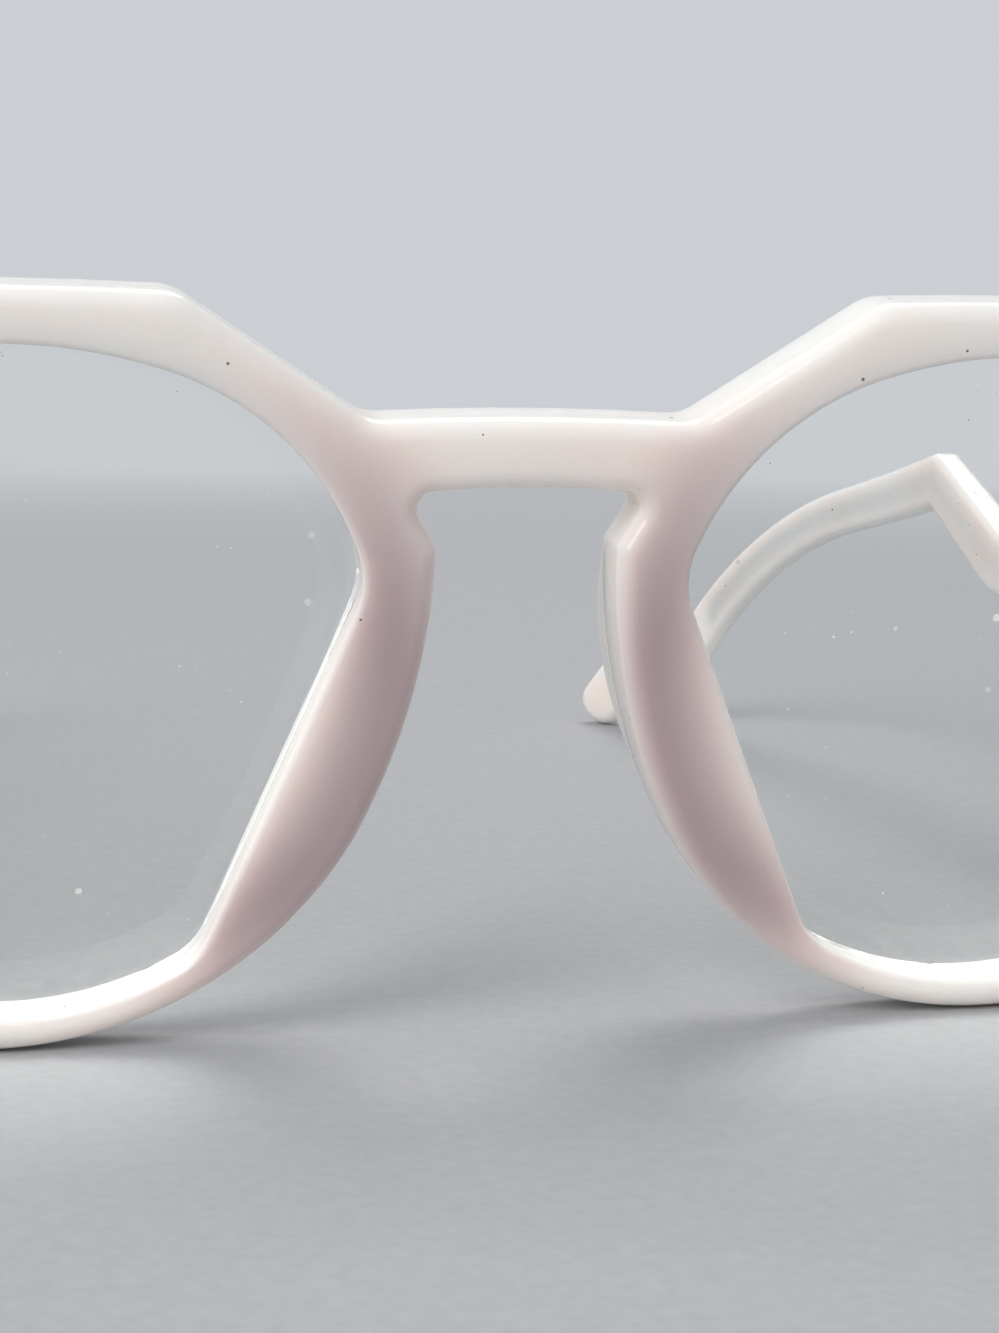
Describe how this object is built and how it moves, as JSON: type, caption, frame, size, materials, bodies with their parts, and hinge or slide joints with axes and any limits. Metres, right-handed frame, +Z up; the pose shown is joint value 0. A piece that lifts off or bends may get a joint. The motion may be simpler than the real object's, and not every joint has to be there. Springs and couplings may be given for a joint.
{
  "type": "spectacles",
  "caption": "Acetate spectacles with geometric rims, a keyhole bridge, clear lenses and folding stepped temples.",
  "frame": {"origin": "on the table under the middle of the bounding box, with the temples open", "axes": "+Z up, +X to the wearer's left, +Y from the front towards the temple tips"},
  "size_m": [0.132, 0.1356, 0.0514],
  "materials": {
    "front_acetate": "polished white acetate, slightly translucent",
    "temple_acetate": "polished white acetate, slightly translucent",
    "pad_acetate": "polished white acetate",
    "lens_clear": "clear, hard coated, a little dusty",
    "hinge_metal": "tumbled nickel silver",
    "rivet_metal": "polished",
    "screw_metal": "turned stainless steel",
    "core_wire": "drawn wire"
  },
  "bodies": {
    "front": {"front_frame": "front_acetate", "lens_left": "lens_clear", "lens_right": "lens_clear", "nose_pad_left": "pad_acetate", "nose_pad_right": "pad_acetate", "front_hinge_left": "hinge_metal", "front_hinge_right": "hinge_metal", "front_hinge_rivets_left": "rivet_metal", "front_hinge_rivets_right": "rivet_metal", "hinge_screw_left": "screw_metal", "hinge_screw_right": "screw_metal"},
    "temple_left": {"temple_left": "temple_acetate", "temple_core_left": "core_wire", "temple_hinge_left": "hinge_metal", "temple_hinge_rivets_left": "rivet_metal"},
    "temple_right": {"temple_right": "temple_acetate", "temple_core_right": "core_wire", "temple_hinge_right": "hinge_metal", "temple_hinge_rivets_right": "rivet_metal"}
  },
  "joints": [
    {"name": "temple_left_fold", "type": "hinge", "parent": "front", "child": "temple_left", "pos_m": [0.0594, -0.05045, 0.02934], "axis": [0, 0, 1], "range_deg": [0, 84]},
    {"name": "temple_right_fold", "type": "hinge", "parent": "front", "child": "temple_right", "pos_m": [-0.0594, -0.05045, 0.02934], "axis": [0, 0, -1], "range_deg": [0, 76]}
  ]
}
